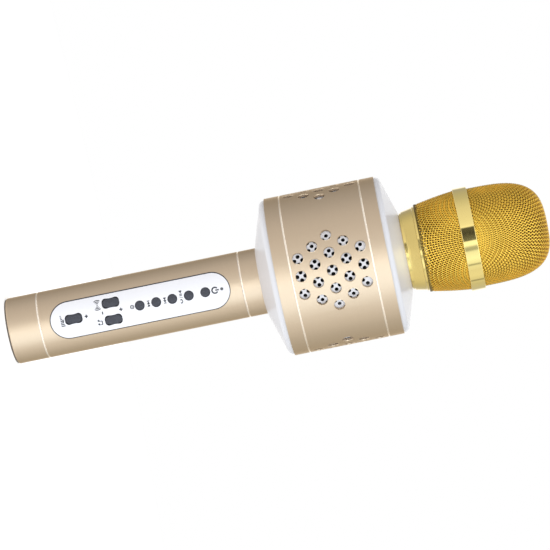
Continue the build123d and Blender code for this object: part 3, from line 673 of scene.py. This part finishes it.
# ---- Basket meshes -------------------------------------------------------------------------------
# Gold plated wire, woven square and then drawn over a form, so that its square holes shear into
# lozenges between the four directions in which the wires run straight up the side.

WIRE_R = 0.00025
PITCH = 0.00136


def cap_net(sphere_r, reach):
    """Square net laid on a sphere from its pole without stretching its wires, out to this arc length.

    The two wires through the pole follow great circles.  Every other knot is its diagonal
    neighbour mirrored in the plane through the two knots beside it and the sphere's centre.
    Gives unit vectors on a grid of knots.
    """
    count = int(reach / PITCH) + 2
    step = PITCH / sphere_r * np.arange(count)
    net = np.full((count, count, 3), np.nan)
    net[:, 0] = np.stack([np.sin(step), np.zeros(count), np.cos(step)], axis=1)
    net[0, :] = np.stack([np.zeros(count), np.sin(step), np.cos(step)], axis=1)
    for diagonal in range(2, 2 * count - 1):
        i = np.arange(max(1, diagonal - count + 1), min(diagonal, count))
        j = diagonal - i
        mirror = np.cross(net[i - 1, j], net[i, j - 1])
        with np.errstate(invalid="ignore", divide="ignore"):
            mirror /= np.linalg.norm(mirror, axis=1)[:, None]
        old = net[i - 1, j - 1]
        net[i, j] = old - 2 * np.sum(old * mirror, axis=1)[:, None] * mirror
    return net


def full_net(sphere_r, reach):
    """The quarter net mirrored into the other three quarters: knots from -count to +count both ways."""
    quarter = cap_net(sphere_r, reach)
    count = len(quarter) - 1
    whole = np.full((2 * count + 1, 2 * count + 1, 3), np.nan)
    x, y, z = quarter[..., 0], quarter[..., 1], quarter[..., 2]
    whole[count:, count:] = quarter
    whole[count::-1, count:] = np.stack([-x, y, z], axis=-1)
    whole[count:, count::-1] = np.stack([x, -y, z], axis=-1)
    whole[count::-1, count::-1] = np.stack([-x, -y, z], axis=-1)
    return whole


def laid_on(net, sphere_r, lengths, profile, turn):
    """Lays a net on a turned form: a knot's distance from the pole becomes length along the profile.

    The profile is (radius, height) against its length from the pole, and turn rotates the net about
    the axis.  Gives the knots' places and outward normals, blank beyond the ends of the profile.
    """
    along = sphere_r * np.arccos(np.clip(net[..., 2], -1, 1))
    azimuth = np.arctan2(net[..., 1], net[..., 0]) + turn
    along[(along < lengths[0]) | (along > lengths[-1])] = np.nan
    slope = np.gradient(profile, axis=0)
    slope /= np.linalg.norm(slope, axis=1)[:, None]
    radius, height, slope_r, slope_z = (
        np.interp(along, lengths, column) for column in (*profile.T, *slope.T)
    )
    places = np.stack([radius * np.cos(azimuth), radius * np.sin(azimuth), height], axis=-1)
    normals = np.stack([-slope_z * np.cos(azimuth), -slope_z * np.sin(azimuth), slope_r], axis=-1)
    outward = np.sign(np.nansum(normals[..., 0] * places[..., 0] + normals[..., 1] * places[..., 1]))
    return places, normals * outward


def woven_wires(places, normals, phase):
    """Round wires through each row of knots, over one crossing wire and under the next.

    Each knot gives two points, a quarter of a mesh before and after it, both lifted by nearly the
    wire's radius or both lowered by it.  A six-sided section is carried through those points.
    """
    rows, knots = places.shape[:2]
    sign = np.where((np.arange(rows)[:, None] + np.arange(knots)[None, :]) % 2 == phase, 1.0, -1.0)
    centre, out = [], []
    for step in (1, -1):
        centre.append(0.75 * places + 0.25 * np.roll(places, step, axis=1))
        out.append(0.75 * normals + 0.25 * np.roll(normals, step, axis=1))
    out = np.stack(out, axis=2).reshape(rows, 2 * knots, 3)
    centre = np.stack(centre, axis=2).reshape(rows, 2 * knots, 3)
    centre = centre + 0.9 * WIRE_R * np.repeat(sign, 2, axis=1)[..., None] * out
    real = np.isfinite(centre[..., 0])
    real[:, [0, -1]] = False
    centre[~real] = np.nan
    ahead = np.nan_to_num(np.roll(centre, -1, axis=1) - centre)
    behind = np.nan_to_num(centre - np.roll(centre, 1, axis=1))
    run = ahead + behind
    run /= np.linalg.norm(run, axis=2)[..., None] + 1e-12
    side = np.cross(out, run)
    side /= np.linalg.norm(side, axis=2)[..., None] + 1e-12
    lift = np.cross(run, side)
    angle = np.radians(np.arange(6) * 60.0)[:, None]
    around = np.cos(angle) * lift[:, :, None] + np.sin(angle) * side[:, :, None]
    rings = centre[:, :, None] + WIRE_R * around
    joined = real & np.roll(real, -1, axis=1)
    joined[:, -1] = False
    used = joined | np.roll(joined, 1, axis=1)
    index = np.full(real.shape, -1)
    index[used] = np.arange(used.sum()) * 6
    first = index[joined][:, None]
    last = index[np.roll(joined, 1, axis=1)][:, None]
    k = np.arange(6)[None, :]
    walls = np.stack([first + k, first + (k + 1) % 6, last + (k + 1) % 6, last + k], axis=-1).reshape(-1, 4)
    starts = index[used & ~np.roll(joined, 1, axis=1)][:, None, None]
    stops = index[used & ~joined][:, None, None]
    halves = np.array([[[0, 1, 2, 3], [0, 3, 4, 5]]])
    caps = np.concatenate([starts + halves, stops + halves[..., ::-1]]).reshape(-1, 4)
    return rings[used].reshape(-1, 3), np.concatenate([walls, caps])


# The skirt's profile is a cone with a slight bulge, a little below the crimp to the band.
skirt_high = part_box("basket_skirt")[1]
SKIRT_LOW, SKIRT_HIGH = 0.2110, skirt_high.z
SKIRT_FOOT_R, SKIRT_TOP_R = 0.0220, skirt_high.x
SKIRT_BULGE = 0.00035
SKIRT_SPHERE = 0.040       # radius of the sphere that the skirt's net is laid on
SKIRT_START = 0.0235       # length along the net from its pole to the skirt's foot
rise = np.linspace(0.015, 1.0, 60)
skirt_profile = np.stack([
    SKIRT_FOOT_R + (SKIRT_TOP_R - SKIRT_FOOT_R) * rise + 4 * SKIRT_BULGE * rise * (1 - rise) - 2 * WIRE_R,
    SKIRT_LOW + (SKIRT_HIGH - SKIRT_LOW) * rise,
], axis=1)

# The dome's profile is a quarter of a superellipse, with a short straight end inside the band.
DOME_R, DOME_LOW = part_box("basket_dome")[1].x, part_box("basket_band")[1].z
DOME_SPHERE = 0.042
DOME_TUCK = 0.0018
SQUARENESS = 3.3
dome_height = cad_box[1][2] - DOME_LOW
dome_turn = np.linspace(np.pi / 2, 0, 400)
dome_profile = np.stack([
    (DOME_R - 2 * WIRE_R) * np.cos(dome_turn) ** (2 / SQUARENESS),
    DOME_LOW + (dome_height - 2 * WIRE_R) * np.sin(dome_turn) ** (2 / SQUARENESS),
], axis=1)
dome_profile[0, 0] = 0.0
dome_profile = np.concatenate([dome_profile, [[DOME_R - 2 * WIRE_R, DOME_LOW - DOME_TUCK]]])


def profile_lengths(profile, start=0.0):
    """Length along a profile up to each of its points."""
    return start + np.concatenate([[0.0], np.cumsum(np.linalg.norm(np.diff(profile, axis=0), axis=1))])


gold_wire = moulded_material("gold_wire", (0.88, 0.565, 0.078), 0.17, tone=0.20, scale=1200.0, spread=0.2,
                             depth=0.00001, Metallic=0.85)
forms = {
    "skirt": (SKIRT_SPHERE, skirt_profile, SKIRT_START, 0.0),
    "dome": (DOME_SPHERE, dome_profile, 0.0, np.pi / 4),
}
for form, (form_sphere, form_profile, form_start, form_turn) in forms.items():
    form_lengths = profile_lengths(form_profile, form_start)
    net = full_net(form_sphere, form_lengths[-1])
    knots, outward = laid_on(net, form_sphere, form_lengths, form_profile, form_turn)
    crossed = knots.transpose(1, 0, 2), outward.transpose(1, 0, 2)
    warp = mesh_piece(f"{form}_warp_wires", *woven_wires(knots, outward, 0), gold_wire, "basket",
                      "gold_mesh", 60)
    mesh_piece(f"{form}_weft_wires", *woven_wires(*crossed, 1), gold_wire, "basket", "gold_mesh", 60)
    node_name = f"basket_{form}"
    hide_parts(node_name)


# ---- Foam windscreen -----------------------------------------------------------------------------
# A moulded cup of open-cell foam lines the basket, in amber that shows through the mesh.  It has
# rounded corners and stands a little clear of the wires.

foam_low, foam_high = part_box("foam_windscreen")
FOAM_THICK = 0.004
FOAM_TAPER = 0.0020


def foam_profile(inset):
    """Outline from the axis at the crown down to the open rim: a superellipse dome on a tapering skirt."""
    turn = np.linspace(np.pi / 2, 0, 40)
    radius = (foam_high.x - inset) * np.maximum(np.cos(turn), 0) ** (2 / SQUARENESS)
    radius[0] = 0.0
    height = DOME_LOW + (foam_high.z - inset - DOME_LOW) * np.sin(turn) ** (2 / SQUARENESS)
    down = np.linspace(0, 1, 14)[1:]
    skirt_r = foam_high.x - inset - FOAM_TAPER * down**1.4
    skirt_z = DOME_LOW + (foam_low.z - DOME_LOW) * down
    return np.concatenate([np.stack([radius, height], axis=1), np.stack([skirt_r, skirt_z], axis=1)])


def lathe(profile, steps=120):
    """Turns a profile of (radius, height) about the axis: rows follow the profile, columns go round."""
    angle = np.arange(steps) * 2 * np.pi / steps
    radius, height = profile[:, :1], profile[:, 1:]
    return np.stack(np.broadcast_arrays(radius * np.cos(angle), radius * np.sin(angle), height), axis=-1)


foam_shell = lathe(np.concatenate([foam_profile(0.0), foam_profile(FOAM_THICK)[::-1]]))
foam_amber = moulded_material("foam_amber", (0.16, 0.08, 0.013), 0.9, tone=0.5, scale=1700.0, spread=0.1,
                              speckle=0.5, depth=0.0003)
foam_faces = grid_faces(*foam_shell.shape[:2], wrap_columns=True)
foam = mesh_piece("foam_lining", foam_shell.reshape(-1, 3), foam_faces, foam_amber, "windscreen",
                  "foam", 60)
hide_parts("foam_windscreen")


# ---- Floor, light and camera ---------------------------------------------------------------------
# A small pale floor under the end cap, and a room of soft light: a broad soft source in front, a
# dimmer one behind and an even glow from above and below.  The camera lies on its side, with the
# basket to the right.  The floor is seen but lights nothing, so that every view has the same light.

FLOOR_R = 0.5
floor_mesh = bpy.data.meshes.new("floor")
floor_edge = np.arange(96) * 2 * np.pi / 96
floor_rim = np.stack([FLOOR_R * np.cos(floor_edge), FLOOR_R * np.sin(floor_edge), np.zeros(96)], axis=1)
floor_mesh.from_pydata(floor_rim.tolist(), [], [list(range(96))])
floor = bpy.data.objects.new("floor", floor_mesh)
bpy.context.scene.collection.objects.link(floor)
floor.visible_diffuse = False
floor.visible_glossy = False
floor.visible_shadow = False
floor_white, _ = new_material("floor_white", (0.90, 0.90, 0.90), 0.9, Emission_Color=(1.0, 1.0, 1.0, 1.0),
                              Emission_Strength=0.3)
floor_mesh.materials.append(floor_white)

# Brightness of the room round the object, by bearing in degrees from the front, -Y, towards +X.
# The front source is a little cool.
room_light = {
    -180: (1.20, 1.20, 1.20), -162: (1.15, 1.15, 1.15), -150: (0.44, 0.44, 0.45), -104: (0.60, 0.60, 0.60),
    -74: (0.82, 0.81, 0.81), -47: (0.92, 0.91, 0.90), -32: (1.00, 1.00, 1.00), -17: (1.45, 1.47, 1.47),
    -3: (2.48, 2.57, 2.61), 19: (2.53, 2.75, 2.96), 41: (2.16, 2.38, 2.60), 57: (1.72, 1.82, 1.88),
    75: (1.14, 1.14, 1.12), 94: (0.90, 0.90, 0.86), 119: (0.68, 0.68, 0.64), 150: (0.60, 0.60, 0.58),
    162: (1.15, 1.15, 1.15), 180: (1.20, 1.20, 1.20),
}
# Near the horizon are the dark stands and gaps between the sources, which polished metal mirrors.
room_gaps = {
    -180: 1.0, -26: 1.0, -25: 0.10, -12: 0.04, 4: 0.08, 6: 0.52, 14: 0.50, 19: 0.22, 25: 0.20, 29: 0.42,
    46: 0.58, 57: 0.58, 58.5: 0.30, 61: 0.30, 63: 0.62, 90: 0.98, 103: 1.0, 105: 0.50, 108: 0.50, 110: 1.0,
    180: 1.0,
}
GAP_HEIGHT, GAP_REACH = 0.02, 0.07
# The light from above, from below and from straight beneath, and the sines of the elevations between
# which each comes in.
ABOVE, ABOVE_FROM, ABOVE_FULL = (1.05, 1.05, 1.05), 0.35, 0.90
BELOW, BELOW_FROM, BELOW_FULL = (0.78, 0.77, 0.76), -0.18, -0.37
BENEATH, BENEATH_FROM, BENEATH_FULL = (1.55, 1.55, 1.55), -0.50, -0.75
GLOW = 3.0                 # strength of the background, by which its colours are divided


def ramp_color(light):
    """A light's colour for the background, with its strength taken out."""
    return (*(part / GLOW for part in light), 1.0)


def bearing_ramp(tree, share, stops):
    """Colour against the bearing; share is the bearing's share of the full turn from -180 degrees."""
    ramp = tree.nodes.new("ShaderNodeValToRGB")
    tree.links.new(share, ramp.inputs["Fac"])
    made = ramp.color_ramp.elements
    for angle, color in stops.items():
        place = (angle + 180) / 360
        stop = made[0] if angle == -180 else made[-1] if angle == 180 else made.new(place)
        stop.position = place
        stop.color = color
    return ramp.outputs["Color"]


world = bpy.data.worlds.new("studio")
bpy.context.scene.world = world
world.use_nodes = True
sky = world.node_tree
sky.nodes.clear()
way = add_node(sky, "SeparateXYZ", inputs={"Vector": add_node(sky, "TexCoord")["Generated"]})
bearing = math_node(sky, "ARCTAN2", way["X"], math_node(sky, "MULTIPLY", way["Y"], -1.0))
turn_share = range_node(sky, bearing, -np.pi, np.pi)
room = bearing_ramp(sky, turn_share, {angle: ramp_color(light) for angle, light in room_light.items()})
for level, start, full in (
    (ABOVE, ABOVE_FROM, ABOVE_FULL), (BELOW, BELOW_FROM, BELOW_FULL), (BENEATH, BENEATH_FROM, BENEATH_FULL)
):
    room = mix_colors(sky, range_node(sky, way["Z"], start, full, interpolation="SMOOTHSTEP"), room,
                      ramp_color(level))
gap_colors = {angle: (share, share, share, 1.0) for angle, share in room_gaps.items()}
gaps = bearing_ramp(sky, turn_share, gap_colors)
near_horizon = math_node(sky, "COMPARE", way["Z"], GAP_HEIGHT, GAP_REACH)
room = mix_colors(sky, near_horizon, room, gaps, blend="MULTIPLY")
glow = add_node(sky, "Background", inputs={"Color": room, "Strength": GLOW})["Background"]
plain = add_node(sky, "Background", inputs={"Color": (1.0, 1.0, 1.0, 1.0)})["Background"]
to_camera = add_node(sky, "LightPath")["Is Camera Ray"]
seen = add_node(sky, "MixShader", inputs={"Fac": to_camera, 1: glow, 2: plain})["Shader"]
add_node(sky, "OutputWorld", inputs={"Surface": seen})

bpy.context.scene.view_settings.view_transform = "Standard"

# The camera looks slightly down, from 3 degrees above the drum, and is rolled so that the object's
# axis runs from the lower left to the upper right.
CAMERA_RANGE = 1.391
CAMERA_RISE = np.radians(3.0)
CAMERA_TILT = np.radians(11.47)
AIM = Vector((-0.0015, 0.0, 0.1362))
lens = bpy.data.cameras.new("camera")
lens.lens = 181.0
lens.sensor_width = 36.0
camera = bpy.data.objects.new("camera", lens)
bpy.context.scene.collection.objects.link(camera)
across = Vector((1.0, 0.0, 0.0))
along = Vector((0.0, np.sin(CAMERA_RISE), np.cos(CAMERA_RISE)))
backward = Vector((0.0, -np.cos(CAMERA_RISE), np.sin(CAMERA_RISE)))
right = along * np.cos(CAMERA_TILT) + across * np.sin(CAMERA_TILT)
upward = along * np.sin(CAMERA_TILT) - across * np.cos(CAMERA_TILT)
turned = Matrix((right, upward, backward)).transposed().to_4x4()
camera.matrix_world = Matrix.Translation(AIM + backward * CAMERA_RANGE) @ turned
bpy.context.scene.camera = camera
